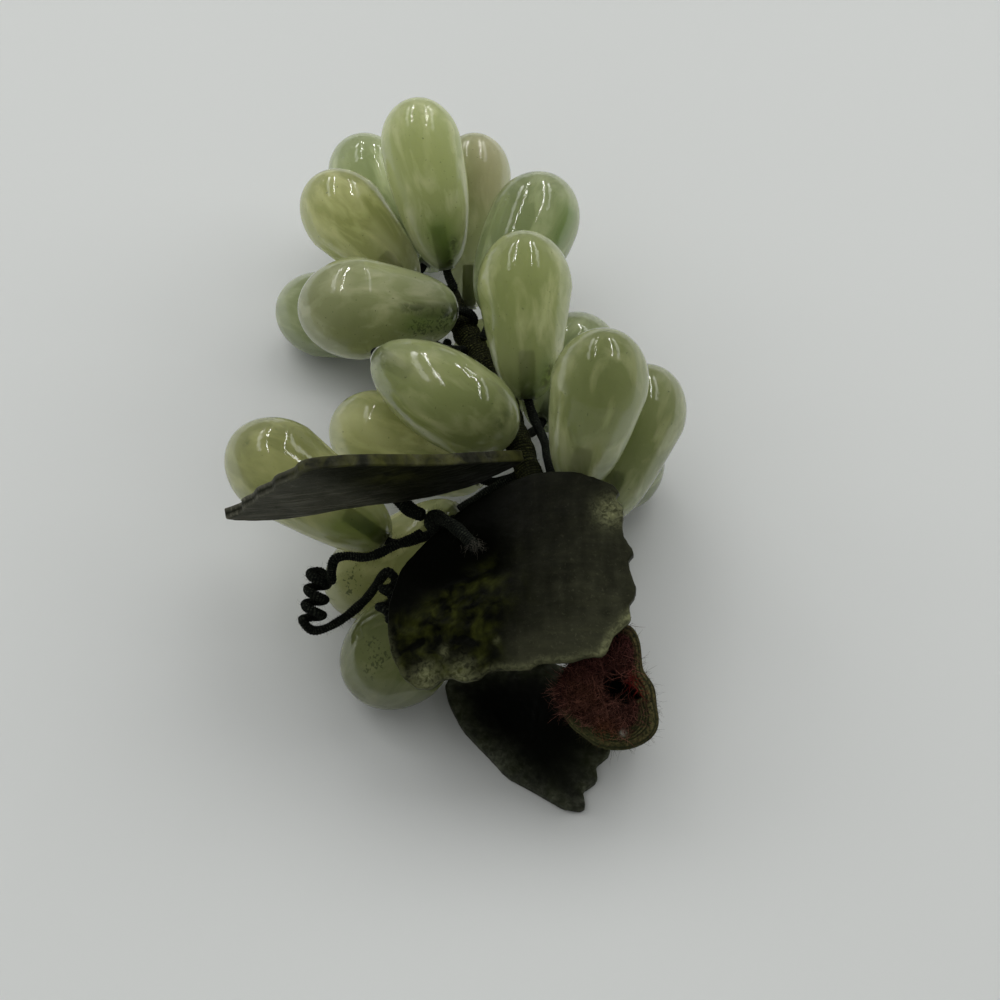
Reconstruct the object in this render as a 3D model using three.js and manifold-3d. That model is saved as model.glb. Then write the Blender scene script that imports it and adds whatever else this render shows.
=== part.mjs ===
// A bunch of carved jade grapes lying on its side. Each grape is one polished stone drop with a
// thread-wrapped wire stalk set in its narrow end. The stalks meet a thread-wrapped stem that
// ends in a short, thick piece of cane. Three carved leaves and a curled tendril hang from it.
//
// All sizes are millimetres. The surface the bunch lies on is z = 0, the tip of the bunch
// points along +Y, and the cut end of the cane is at the -Y end.

import * as THREE from 'three';
import { mergeVertices } from 'three/addons/utils/BufferGeometryUtils.js';
import Module from 'manifold-3d';

const wasm = await Module();
wasm.setup();

// Driving dimensions

const GAP = 0.35;                        // clearance between touching pieces
const MIDDLE = new THREE.Vector3(-7.52, 19.8, 0); // middle of the bunch in the places given below

const GRAPE_SIDES = 12;
const FAT_TURNS = [0, 35, 63, 90];       // degrees round the fat half at which it has a ring
const NARROW_SHARES = [0.35, 0.62, 0.83, 0.95, 0.992]; // shares of the narrow half with a ring
const FAT_END = 1.2;                     // length of the fat half, in grape radii
const BLUNTNESS = 0.45;                  // 0.5 makes the narrow end an ellipse's, less makes it blunter
const WAIST = 0.4;                       // how much leaner most grapes are halfway to the narrow end
const BORE_RADIUS = 1.15;
const BORE_DEPTH = 9;

const WIRE_SIDES = 6;                    // sides and lengths of each grape's or leaf's stalk
const WIRE_STEPS = 7;
const STALK_RADIUS = 0.8;
const STALK_SWEEP = 2.5;                 // how far a stalk runs straight before it bends
const PLACES_TRIED = 120;                // places on the stem or branch looked at for a stalk's foot
const STEM_SIDES = 8;
const STEM_STEPS = 20;
const STEM_RADIUS = 2.5;
const BRANCH_STEPS = 5;
const BRANCH_RADIUS = 1.4;
const PETIOLE_RADIUS = 1;
const TENDRIL_RADIUS = 0.8;
const TENDRIL_SIDES = 5;
const TENDRIL_STEPS = 104;
const KNOT_RADIUS = 2;

const LEAF_THICKNESS = 2;
const LEAF_RINGS = 3;
const DOME = 0.004;                      // how fast the top leaf falls away from its highest point
const HOLLOW_DEPTH = 1.8;
const HOLLOW_WIDTH = 4;
const UPRIGHT_BEND = 0.003;              // how fast the upright leaf bends back along its length

const CANE_LENGTH = 18.6;
const CANE_FOOT = 7.3;                   // radius at the lower end
const CANE_BEVEL = 0.8;
const CANE_ROUNDING = 1.2;
const CANE_MIDDLE = 0.6;                 // share of the length at which it has spread by CANE_SPREAD
const CANE_SPREAD = 0.4;
// how far the cut face reaches out at even turns, from the lip beside the stem all the way round
const CANE_REACH = [13.4, 10.3, 8.9, 8.7, 8.8, 7.9, 7.2, 6.9, 7.3, 8, 8.8, 9.5, 9.1, 8.4, 8.2, 9.7];
const HOLE_DEPTH = 6;

const v3 = (x, y, z) => new THREE.Vector3(x, y, z);

// Four grape stalks take a longer way to the stem, through these places.
const BESIDE_STEM = [v3(6, 13.2, 26.8), v3(7.9, 7.4, 27.2), v3(8.8, 1.7, 27.1), v3(10.5, -3.4, 26.4)];
const BEHIND_STEM = [v3(-13.2, 41.8, 12.6), v3(-10.7, 38.8, 14.8), v3(-9.9, 38.9, 17)];
const UNDER_TIP = [v3(-16.9, 59.5, 12.4), v3(-15, 54.5, 12.4), v3(-11.9, 52, 15)];
const UNDER_TIP_LOW = [v3(-17.9, 62, 7), v3(-16, 55, 8.8), v3(-11.4, 50, 13.8)];

// Where each grape's narrow end is, the heading and the rise of its axis in degrees, its length
// and its greatest width, and its own waist if it isn't like most.
const GRAPES = [
  { from: v3(-10.3, 52.2, 22.1), heading: 105, rise: 41, long: 33.2, wide: 15.8, waist: 0 },
  { from: v3(-17.5, 63, 13.5), heading: 117, rise: 11, long: 30.5, wide: 16.8, via: UNDER_TIP },
  { from: v3(-17, 51.5, 17.5), heading: 139, rise: 26, long: 29, wide: 16.6 },
  { from: v3(-6.3, 53.7, 8.6), heading: 87, rise: 37, long: 35, wide: 14.8 },
  { from: v3(-1.5, 38.6, 24.3), heading: 68, rise: 12.5, long: 32, wide: 17.4, waist: 0 },
  { from: v3(5, 16.2, 28), heading: 92, rise: 31, long: 30.6, wide: 17.6, via: BESIDE_STEM },
  { from: v3(-8, 39.5, 25), heading: 188, rise: 11, long: 30, wide: 19.4 },
  { from: v3(-17, 44, 12), heading: 155, rise: -10, long: 30.5, wide: 17.2, via: BEHIND_STEM },
  { from: v3(2.2, 4.8, 32.2), heading: 143.5, rise: 1, long: 30.4, wide: 16.2, waist: -0.3 },
  { from: v3(-3, 5, 19), heading: 150, rise: -5, long: 32, wide: 17 },
  { from: v3(-19.5, -10, 22), heading: 147, rise: 10, long: 33.5, wide: 17.6 },
  { from: v3(13, -2.9, 28.6), heading: 66, rise: 63, long: 29.8, wide: 16.8, waist: 0.3 },
  { from: v3(17.5, -6, 23), heading: 69, rise: 11, long: 31, wide: 16.4 },
  { from: v3(7.5, 17, 20), heading: 70, rise: -12, long: 30, wide: 17 },
  { from: v3(10, 0, 15.6), heading: 51, rise: -20, long: 30.5, wide: 16.8 },
  { from: v3(-7, -1.5, 19.5), heading: 203, rise: -32, long: 30, wide: 16 },
  { from: v3(-2.5, -18, 22.5), heading: 206, rise: -36, long: 32, wide: 19 },
  { from: v3(-15.9, 66.6, 6.6), heading: 67, rise: 4, long: 26, wide: 15.4, via: UNDER_TIP_LOW },
  { from: v3(1.2, 23.4, 14.6), heading: 99, rise: -19.5, long: 28.5, wide: 16 },
];

// The stem runs from the cane to the tip of the bunch, and the branch from the stem to the knot
// that the leaves and the tendril hang from.

const STEM_PATH = [
  v3(17.6, -28.6, 22.9), v3(14.5, -22, 24.3), v3(9, -9, 25.4), v3(4.5, 3.7, 25.6), v3(2.6, 11, 25),
  v3(-0.5, 22.7, 23.4), v3(-5.5, 35.3, 21), v3(-8.6, 44, 18.8), v3(-10.6, 51.2, 16.8),
];
const BRANCH_PATH = [v3(4.4, -5.6, 25.6), v3(0, -8.6, 26.8), v3(-4.6, -9.6, 27.4), v3(-8.8, -10.4, 28.4)];
const KNOT = v3(-10.8, -11.7, 30.8);

// Leaves: a point on each, the way its upper face looks, the way its long side runs, and its
// outline in millimetres along that side and across it, by the tips and notches of its teeth.

const LEAF_TOP = {
  at: v3(3, -22, 32.3),
  faces: v3(-0.15, -0.28, 1),
  along: v3(1, 0, 0.15),
  outline: [
    [-9.1, 11.1], [-3.4, 14.1], [-0.5, 15.3], [2.7, 16.3], [6.4, 16.6], [10.6, 16.2], [13.5, 15],
    [16.4, 13.6], [17.4, 12.3], [16.6, 11.2], [17.9, 9.5], [17.4, 5], [19.2, 1.5], [18, -0.2],
    [19.2, -5], [17.7, -7.4], [17.9, -9.7], [14.9, -12], [13.2, -15.3], [10.3, -15.3], [7.8, -16],
    [2.6, -15.8], [0.9, -16.8], [-5.7, -16.4], [-7.5, -17.7], [-10, -18], [-12, -17.1],
    [-13.7, -17.3], [-15.6, -18.6], [-18.2, -18.2], [-20.3, -16.2], [-22, -12.5], [-22.5, -8.1],
    [-22, -3.6], [-19.9, 1.7], [-17.4, 4.2], [-13.8, 7.3],
  ],
  // a low dome with a hollow that runs out from the stalk to the left
  height: (a, b) => -DOME * ((a + 1) ** 2 + (b - 3) ** 2)
    - HOLLOW_DEPTH * Math.exp(-((distanceToSegment(a, b, [-5.5, 1.5], [-14, -2]) / HOLLOW_WIDTH) ** 2)),
};

const LEAF_UPRIGHT = {
  at: v3(-20, -10.4, 41),
  faces: v3(0.19, -0.945, -0.265),
  along: v3(1, 0.19, 0.04),
  outline: [
    [-26.4, -8.7], [-25.4, -8], [-23.1, -5.7], [-22.8, -3.6], [-20.6, -1.2], [-19.8, 1.5],
    [-17, 4.1], [-16.2, 6.8], [-13, 9.4], [-11.8, 12], [-10.4, 12.9], [-8.1, 13], [-4.5, 12.4],
    [0.2, 10.6], [4.9, 7.8], [10.6, 4.2], [14.8, 1.9], [20.3, -1.7], [23.7, -4.2], [24.9, -5.4],
    [24.2, -6.4], [20.5, -8.1], [16.1, -10.4], [10, -10.9], [4, -10.2], [-2, -9], [-7.1, -8.8],
    [-12.3, -9.9], [-18.3, -10.6], [-22.1, -10.2], [-24.7, -9.6],
  ],
  height: (a) => -UPRIGHT_BEND * a ** 2,
};

const LEAF_LOW = {
  at: v3(6, -36, 1),
  faces: v3(0, 0, 1),
  along: v3(1, 0, 0),
  outline: [
    [-15.9, 9.2], [-11, 13.5], [-5, 13], [1, 14.5], [5, 12.5], [10, 11], [13, 7], [14.5, 2.5],
    [12.8, -1], [13.2, -4.5], [10.6, -6.8], [10.8, -9.6], [8.2, -11.6], [8.6, -14.6], [7.6, -15.1],
    [4.7, -14.6], [0, -11.6], [-4.8, -8.8], [-8.6, -4.3], [-12.5, 0.1], [-15, 5.2],
  ],
  height: () => 0,
};

// The cane is an upright stub. Its cut end looks up and its lower end rests on the low leaf.
const CANE_FACE = v3(17.2, -41.4, 22.3);
const CANE_AXIS = v3(-0.117, -0.472, 0.873).normalize();
const CANE_LIP_TOWARDS = v3(21.4, -28, 24.5);
const HOLE = [[5.1, 0.1], [2.1, 1.1], [0.4, -2.6], [2.3, -4.7]]; // its corners on the cut face

// Colours from the photograph, with roughness

const JADE = { color: 0x8f9c66, roughness: 0.12 };
const DARK_JADE = { color: 0x23271a, roughness: 0.38 };
const BROWN_THREAD = { color: 0x2c2319, roughness: 0.9 };
const GREEN_THREAD = { color: 0x16200f, roughness: 0.9 };
const CUT_CANE = { color: 0x4a1f17, roughness: 0.95 };

const bunch = new THREE.Group();
bunch.position.copy(MIDDLE).negate();

function add(name, geometry, finish) {
  const mesh = new THREE.Mesh(geometry, new THREE.MeshStandardMaterial({ ...finish, metalness: 0 }));
  mesh.name = name;
  bunch.add(mesh);
  return mesh;
}

function closed(geometry) {
  const bare = geometry.clone();
  bare.deleteAttribute('normal');
  bare.deleteAttribute('uv');
  return mergeVertices(bare, 1e-4);
}

// Round section swept along a curve, with flat ends

function tube(path, radius, sides, steps) {
  const section = new THREE.Shape();
  for (let i = 0; i < sides; i += 1) {
    const angle = (2 * Math.PI * i) / sides;
    const x = radius * Math.cos(angle);
    const y = radius * Math.sin(angle);
    if (i === 0) section.moveTo(x, y);
    else section.lineTo(x, y);
  }
  section.closePath();
  const swept = new THREE.ExtrudeGeometry(section, { steps, bevelEnabled: false, extrudePath: path });
  return closed(swept);
}

// The point of a curve that is nearest to a place, by looking at even steps along it

function nearestOn(curve, place) {
  const points = curve.getSpacedPoints(PLACES_TRIED);
  return points.reduce((best, p) => (p.distanceTo(place) < best.distanceTo(place) ? p : best));
}

function distanceToSegment(a, b, from, to) {
  const dx = to[0] - from[0];
  const dy = to[1] - from[1];
  const t = THREE.MathUtils.clamp(((a - from[0]) * dx + (b - from[1]) * dy) / (dx * dx + dy * dy), 0, 1);
  return Math.hypot(a - from[0] - t * dx, b - from[1] - t * dy);
}

// Stem and branch

const stemCurve = new THREE.CatmullRomCurve3(STEM_PATH);
const branchCurve = new THREE.CatmullRomCurve3(BRANCH_PATH);
add('main_stem', tube(stemCurve, STEM_RADIUS, STEM_SIDES, STEM_STEPS), BROWN_THREAD);
add('side_branch', tube(branchCurve, BRANCH_RADIUS, STEM_SIDES, BRANCH_STEPS), GREEN_THREAD);

// Grapes: a half ellipse at the fat end and a leaner one at the narrow end, turned about the
// grape's axis, with a blind hole in the narrow end for the stalk

function grapeGeometry({ long, wide, waist = WAIST }) {
  const radius = wide / 2;
  const fat = FAT_END * radius;
  const profile = [];
  for (const angle of FAT_TURNS) {
    const turn = THREE.MathUtils.degToRad(angle);
    profile.push(new THREE.Vector2(radius * Math.sin(turn), long - fat * (1 - Math.cos(turn))));
  }
  for (const share of NARROW_SHARES) {
    const lean = (1 - share ** 2) ** BLUNTNESS * (1 - waist * share * (1 - share));
    profile.push(new THREE.Vector2(radius * lean, (long - fat) * (1 - share)));
  }
  profile.push(new THREE.Vector2(BORE_RADIUS, 0));
  profile.push(new THREE.Vector2(BORE_RADIUS, BORE_DEPTH));
  profile.push(new THREE.Vector2(0, BORE_DEPTH));
  profile.reverse();
  return closed(new THREE.LatheGeometry(profile, GRAPE_SIDES));
}

function axisOf({ heading, rise }) {
  const turn = THREE.MathUtils.degToRad(heading);
  const lift = THREE.MathUtils.degToRad(rise);
  return v3(Math.cos(lift) * Math.cos(turn), Math.cos(lift) * Math.sin(turn), Math.sin(lift));
}

// A stalk starts in the bottom of its grape's hole, leaves it along the grape's axis and bends
// round to meet the nearer of the stem and the branch square on.

function stalkPath(grape) {
  const axis = axisOf(grape);
  const mouth = grape.from;
  const reach = mouth.clone().addScaledVector(axis, -2 * STALK_SWEEP);
  const onStem = nearestOn(stemCurve, reach);
  const onBranch = nearestOn(branchCurve, reach);
  const useStem = onStem.distanceTo(reach) < onBranch.distanceTo(reach);
  const foot = useStem ? onStem : onBranch;
  const outward = reach.clone().sub(foot).normalize();
  const end = foot.clone().addScaledVector(outward, (useStem ? STEM_RADIUS : BRANCH_RADIUS) + GAP);
  const path = new THREE.CurvePath();
  path.add(new THREE.LineCurve3(mouth.clone().addScaledVector(axis, BORE_DEPTH - GAP), mouth));
  if (grape.via) {
    path.add(new THREE.CatmullRomCurve3([mouth, ...grape.via]));
    return path;
  }
  path.add(new THREE.CubicBezierCurve3(
    mouth,
    mouth.clone().addScaledVector(axis, -STALK_SWEEP),
    end.clone().addScaledVector(outward, STALK_SWEEP / 2),
    end,
  ));
  return path;
}

GRAPES.forEach((grape, i) => {
  const stone = add(`grape_${i + 1}`, grapeGeometry(grape), JADE);
  stone.position.copy(grape.from);
  stone.quaternion.setFromUnitVectors(v3(0, 1, 0), axisOf(grape));
  add(`grape_stalk_${i + 1}`, tube(stalkPath(grape), STALK_RADIUS, WIRE_SIDES, WIRE_STEPS), GREEN_THREAD);
});

// Leaves: rings of points from the middle out to the outline, on an upper and a lower face

function leafGeometry({ outline, height }) {
  const count = outline.length;
  const positions = [];
  const index = [];
  const put = (a, b, side) => positions.push(a, b, height(a, b) + (side * LEAF_THICKNESS) / 2);
  for (const side of [1, -1]) {
    put(0, 0, side);
    for (let ring = 1; ring <= LEAF_RINGS; ring += 1) {
      for (const [a, b] of outline) put((a * ring) / LEAF_RINGS, (b * ring) / LEAF_RINGS, side);
    }
  }
  const lower = 1 + count * LEAF_RINGS;
  const at = (ring, i) => (ring === 0 ? 0 : 1 + (ring - 1) * count + (i % count));
  for (let ring = 0; ring < LEAF_RINGS; ring += 1) {
    for (let i = 0; i < count; i += 1) {
      const quad = [at(ring, i), at(ring + 1, i), at(ring + 1, i + 1), at(ring, i + 1)];
      index.push(quad[0], quad[2], quad[1]);
      index.push(lower + quad[0], lower + quad[1], lower + quad[2]);
      if (ring > 0) {
        index.push(quad[0], quad[3], quad[2]);
        index.push(lower + quad[0], lower + quad[2], lower + quad[3]);
      }
    }
  }
  for (let i = 0; i < count; i += 1) {
    const a = at(LEAF_RINGS, i);
    const b = at(LEAF_RINGS, i + 1);
    index.push(a, b, lower + a, b, lower + b, lower + a);
  }
  const geometry = new THREE.BufferGeometry();
  geometry.setAttribute('position', new THREE.Float32BufferAttribute(positions, 3));
  geometry.setIndex(index);
  return geometry;
}

function addLeaf(name, leaf) {
  const mesh = add(name, leafGeometry(leaf), DARK_JADE);
  const up = leaf.faces.clone().normalize();
  const along = leaf.along.clone().addScaledVector(up, -leaf.along.dot(up)).normalize();
  const across = up.clone().cross(along);
  mesh.quaternion.setFromRotationMatrix(new THREE.Matrix4().makeBasis(along, across, up));
  mesh.position.copy(leaf.at);
}

addLeaf('leaf_top', LEAF_TOP);
addLeaf('leaf_upright', LEAF_UPRIGHT);
addLeaf('leaf_low', LEAF_LOW);

// Knot and leaf stalks

const knot = add('thread_knot', closed(new THREE.IcosahedronGeometry(KNOT_RADIUS, 1)), GREEN_THREAD);
knot.position.copy(KNOT);

function addPetiole(name, points) {
  add(name, tube(new THREE.CatmullRomCurve3(points), PETIOLE_RADIUS, WIRE_SIDES, WIRE_STEPS), GREEN_THREAD);
}

addPetiole('leaf_stalk_top', [
  v3(-10.4, -12.6, 33.2), v3(-9, -14.4, 35.1), v3(-6.4, -17.2, 36), v3(-3.8, -20.4, 35.6),
]);
addPetiole('leaf_stalk_upright', [
  v3(-12.8, -10, 30), v3(-15.2, -8.4, 29.4), v3(-18.2, -5.6, 30.6), v3(-19.4, -4.9, 34), v3(-19.6, -6.6, 38),
]);
addPetiole('leaf_stalk_low', [
  v3(13, -22.6, 21.4), v3(11.4, -22.6, 16), v3(9.6, -22.4, 9), v3(8.6, -22.6, 2.4),
]);

// Tendril: a wrapped wire that leaves the knot, winds into one coil, comes back and winds into
// a second. Each coil is a helix about its own axis.

const TENDRIL_OUT = [
  v3(-13, -13.2, 29.8), v3(-16.9, -14.2, 28), v3(-22.4, -15.7, 26), v3(-26.3, -14.9, 25),
  v3(-28.2, -15, 24.2), v3(-28.9, -16, 22), v3(-29, -16.8, 20.2),
];
const TENDRIL_BACK = [
  v3(-32.7, -23.2, 14.3), v3(-30.9, -23.2, 14.3), v3(-27.3, -21.5, 15), v3(-23.3, -19.1, 17.5),
];
const COIL_FAR = { from: v3(-31.1, -15, 20), to: v3(-32.5, -22.1, 15), radius: 1.6, turns: 3.25 };
const COIL_NEAR = { from: v3(-18.6, -17.5, 23.2), to: v3(-19.6, -26, 22.6), radius: 1, turns: 2.5 };
const COIL_STEPS = 8;

function coil({ from, to, radius, turns }, startAngle) {
  const axis = to.clone().sub(from);
  const side = v3(0, 1, 0).cross(axis).normalize();
  const other = axis.clone().normalize().cross(side);
  const points = [];
  const count = turns * COIL_STEPS;
  for (let i = 0; i <= count; i += 1) {
    const angle = startAngle - (2 * Math.PI * i) / COIL_STEPS;
    points.push(from.clone().addScaledVector(axis, i / count)
      .addScaledVector(side, radius * Math.cos(angle))
      .addScaledVector(other, radius * Math.sin(angle)));
  }
  return points;
}

const tendrilCurve = new THREE.CatmullRomCurve3([
  ...TENDRIL_OUT,
  ...coil(COIL_FAR, Math.PI / 2),
  ...TENDRIL_BACK,
  ...coil(COIL_NEAR, 0),
]);
add('tendril', tube(tendrilCurve, TENDRIL_RADIUS, TENDRIL_SIDES, TENDRIL_STEPS), GREEN_THREAD);

// Cane: rings about its axis, round at the foot and spreading to the uneven cut face, which has
// a slanting hole

function caneGeometry() {
  const rings = [
    { up: 0, spread: 0, trim: CANE_BEVEL },
    { up: CANE_BEVEL, spread: 0, trim: 0 },
    { up: CANE_LENGTH * CANE_MIDDLE, spread: CANE_SPREAD, trim: 0 },
    { up: CANE_LENGTH - CANE_ROUNDING, spread: 1, trim: 0 },
    { up: CANE_LENGTH, spread: 1, trim: CANE_ROUNDING },
  ];
  const sides = CANE_REACH.length;
  const positions = [0, 0, 0];
  const index = [];
  for (const { up, spread, trim } of rings) {
    CANE_REACH.forEach((reach, i) => {
      const angle = (2 * Math.PI * i) / sides;
      const out = CANE_FOOT + spread * (reach - CANE_FOOT) - trim;
      positions.push(out * Math.cos(angle), out * Math.sin(angle), up);
    });
  }
  positions.push(0, 0, CANE_LENGTH);
  const last = positions.length / 3 - 1;
  const at = (ring, i) => 1 + ring * sides + (i % sides);
  for (let i = 0; i < sides; i += 1) {
    index.push(0, at(0, i + 1), at(0, i));
    index.push(last, at(rings.length - 1, i), at(rings.length - 1, i + 1));
    for (let ring = 0; ring + 1 < rings.length; ring += 1) {
      index.push(at(ring, i), at(ring, i + 1), at(ring + 1, i + 1));
      index.push(at(ring, i), at(ring + 1, i + 1), at(ring + 1, i));
    }
  }
  const geometry = new THREE.BufferGeometry();
  geometry.setAttribute('position', new THREE.Float32BufferAttribute(positions, 3));
  geometry.setIndex(index);
  return geometry;
}

function toSolid(geometry) {
  return new wasm.Manifold(new wasm.Mesh({
    numProp: 3,
    vertProperties: new Float32Array(geometry.getAttribute('position').array),
    triVerts: new Uint32Array(geometry.index.array),
  }));
}

function toGeometry(solid) {
  const { vertProperties, triVerts } = solid.getMesh();
  const geometry = new THREE.BufferGeometry();
  geometry.setAttribute('position', new THREE.Float32BufferAttribute(vertProperties, 3));
  geometry.setIndex(Array.from(triVerts));
  return geometry;
}

const holeOutline = new THREE.Shape(HOLE.map(([x, y]) => new THREE.Vector2(x, y)));
const hole = closed(new THREE.ExtrudeGeometry(holeOutline, { depth: 2 * HOLE_DEPTH, bevelEnabled: false }));
hole.translate(0, 0, CANE_LENGTH - HOLE_DEPTH);
const cane = add('cane_stub', toGeometry(toSolid(caneGeometry()).subtract(toSolid(hole))), CUT_CANE);
const caneFoot = CANE_FACE.clone().addScaledVector(CANE_AXIS, -CANE_LENGTH);
const lip = CANE_LIP_TOWARDS.clone().sub(CANE_FACE);
lip.addScaledVector(CANE_AXIS, -lip.dot(CANE_AXIS)).normalize();
const caneSide = CANE_AXIS.clone().cross(lip);
cane.quaternion.setFromRotationMatrix(new THREE.Matrix4().makeBasis(lip, caneSide, CANE_AXIS));
cane.position.copy(caneFoot);

export default bunch;
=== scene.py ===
import math
import bpy
import numpy as np
from mathutils import Matrix


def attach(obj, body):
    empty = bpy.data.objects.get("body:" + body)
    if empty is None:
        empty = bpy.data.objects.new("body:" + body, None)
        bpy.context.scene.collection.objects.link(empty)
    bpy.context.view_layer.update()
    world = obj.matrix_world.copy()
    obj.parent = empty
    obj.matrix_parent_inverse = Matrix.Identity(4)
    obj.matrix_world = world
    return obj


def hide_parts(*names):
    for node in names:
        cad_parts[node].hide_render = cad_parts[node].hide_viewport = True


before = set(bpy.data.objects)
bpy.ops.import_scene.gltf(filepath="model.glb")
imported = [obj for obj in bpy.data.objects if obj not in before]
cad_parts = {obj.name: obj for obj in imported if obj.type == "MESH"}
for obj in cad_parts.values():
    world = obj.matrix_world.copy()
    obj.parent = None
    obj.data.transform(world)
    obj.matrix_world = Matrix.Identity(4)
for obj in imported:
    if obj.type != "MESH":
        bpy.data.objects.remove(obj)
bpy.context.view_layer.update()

# Camera, table and light. The bunch lies on a plain pale table. Large soft lamps behind
# it leave the side towards the camera in shade, and a weak one stands in front. Two long
# ceiling tubes and two wider panels show only in the polish, as streaks and soft patches.

mm = 1e-3
SHIFT = np.array([7.52, -19.8, 0.0]) * mm


def to_frame(places):
    """A place or places measured on the bunch in millimetres, as places in the frame."""
    return np.array(places) * mm + SHIFT


def unit(direction):
    """The same direction with the length 1."""
    return np.array(direction, float) / np.linalg.norm(direction)


def put(name, data):
    """A new object in the scene that shows a mesh, a lamp or a camera."""
    thing = bpy.data.objects.new(name, data)
    bpy.context.collection.objects.link(thing)
    return thing


camera = put("camera", bpy.data.cameras.new("camera"))
camera.data.sensor_width = 36
camera.data.lens = 63.25
camera.data.clip_start = 0.01
camera.location = to_frame((0, -174.5, 278.7))
camera.rotation_euler = (math.radians(34), 0, 0)
bpy.context.scene.camera = camera
bpy.context.scene.view_settings.view_transform = "Standard"


class Finish:
    """A Principled material with its fixed values set on the shader itself, and the few
    kinds of node that the patterns on the stones and threads are put together from."""

    def __init__(self, name, colour, roughness, **values):
        self.material = bpy.data.materials.new(name)
        self.material.use_nodes = True
        self.tree = self.material.node_tree
        self.shader = self.tree.nodes["Principled BSDF"]
        self.shader.inputs["Base Color"].default_value = (*colour, 1)
        self.shader.inputs["Roughness"].default_value = roughness
        for key, value in values.items():
            self.shader.inputs[key.replace("_", " ")].default_value = value

    def add(self, kind, links=(), **values):
        """A node, with values for its named sockets and (socket, link) pairs."""
        node = self.tree.nodes.new("ShaderNode" + kind)
        for key, value in values.items():
            node.inputs[key.replace("_", " ")].default_value = value
        for socket, link in links:
            self.tree.links.new(link, node.inputs[socket])
        return node

    def read(self, key, output="Fac"):
        """A number, or with output Vector a place, that the mesh carries for each point."""
        node = self.add("Attribute")
        node.attribute_name = key
        return node.outputs[output]

    def noise(self, size, detail=3, swirl=0.0, where=None):
        """Cloudy noise from 0 to 1 with features about size metres wide."""
        if where is None:
            where = self.add("TexCoord").outputs["Object"]
        return self.add("TexNoise", [("Vector", where)], Scale=1 / size, Detail=detail,
                        Distortion=swirl).outputs["Fac"]

    def ramp(self, source, low, high, bottom=0.0, top=1.0):
        """The source's range from low to high stretched to the range from bottom to top."""
        return self.add("MapRange", [("Value", source)], From_Min=low, From_Max=high,
                        To_Min=bottom, To_Max=top).outputs["Result"]

    def both(self, one, two, operation="MULTIPLY"):
        """The product of two numbers, or with operation ADD their sum."""
        node = self.add("Math", [(0, one), (1, two)])
        node.operation = operation
        return node.outputs[0]

    def over(self, below, share, above):
        """The colour above laid over the colour below by a share from 0 to 1."""
        node = self.add("Mix", [(0, share)])
        node.data_type = "RGBA"
        for socket, colour in ((6, below), (7, above)):
            if isinstance(colour, tuple):
                node.inputs[socket].default_value = (*colour, 1)
            else:
                self.tree.links.new(colour, node.inputs[socket])
        return node.outputs[2]

    def layer(self, below, key, above, share=1.0, low=0, high=1):
        """The colour above laid over the colour below by up to the share, as the number
        that the mesh carries under the key goes from low to high."""
        return self.over(below, self.ramp(self.read(key), low, high, 0, share), above)

    def dent(self, height, depth, strength=1.0):
        """Fine relief of the given depth in metres."""
        node = self.add("Bump", [("Height", height)], Distance=depth, Strength=strength)
        self.use("Normal", node.outputs["Normal"])

    def use(self, socket, link):
        """Feed a pattern to one of the shader's sockets."""
        self.tree.links.new(link, self.shader.inputs[socket])


def area_light(name, place, size, power, aim):
    """A rectangular lamp at a place, turned to face a point, with its long side along Y."""
    lamp = bpy.data.lights.new(name, "AREA")
    lamp.shape = "RECTANGLE"
    lamp.size, lamp.size_y = size
    lamp.energy = power
    thing = put(name, lamp)
    thing.location = place
    z = unit(np.subtract(place, aim))
    x = unit(np.cross([0, 1, 0], z))
    thing.rotation_euler = Matrix(np.stack([x, np.cross(z, x), z], 1).tolist()).to_euler()
    return thing


def room_light(name, heading, rise, width, power):
    """A soft lamp 3 m away in a direction given in degrees, aimed at the bunch. It lights
    the bunch without showing in the polish."""
    turn, lift = math.radians(heading), math.radians(rise)
    level = math.cos(lift)
    place = 3 * np.array([level * math.cos(turn), level * math.sin(turn), math.sin(lift)])
    area_light(name, place, (width, width), power, (0, 0, 0)).visible_glossy = False


for name, x, width, power in (
        ("tube_left", -0.33, 0.022, 5.5), ("tube_right", 0.33, 0.022, 5.5),
        ("haze_left", -0.62, 0.15, 4), ("haze_right", 0.62, 0.15, 4)):
    area_light(name, (x, 0.95, 1.0), (width, 1.7), power, (x, 0.95, 0)).visible_diffuse = False
room_light("behind_right", 60, 50, 1.9, 20)
room_light("behind_left", 120, 50, 1.9, 20)
room_light("low_right", 20, 22, 2.5, 34)
room_light("low_left", 155, 22, 2.5, 24)
room_light("above_left", 180, 74, 1.6, 8)
room_light("front_left", 235, 42, 2.5, 7)

world = bpy.data.worlds.new("room")
bpy.context.scene.world = world
world.use_nodes = True
background = world.node_tree.nodes["Background"]
background.inputs["Color"].default_value = (0.95, 0.96, 0.95, 1)
background.inputs["Strength"].default_value = 0.13

table = bpy.data.meshes.new("table_top")
table.from_pydata([(-3, -2, 0), (3, -2, 0), (3, 4, 0), (-3, 4, 0)], [], [(0, 1, 2, 3)])
table.materials.append(Finish("table_top", (0.72, 0.74, 0.72), 0.55).material)
table_top = put("table_top", table)

# Main stem: a bundle of wires wound with brown thread, which holds every stalk. The
# thread is dull and fuzzy, and the stem runs from the cane to the tip of the bunch.


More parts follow.
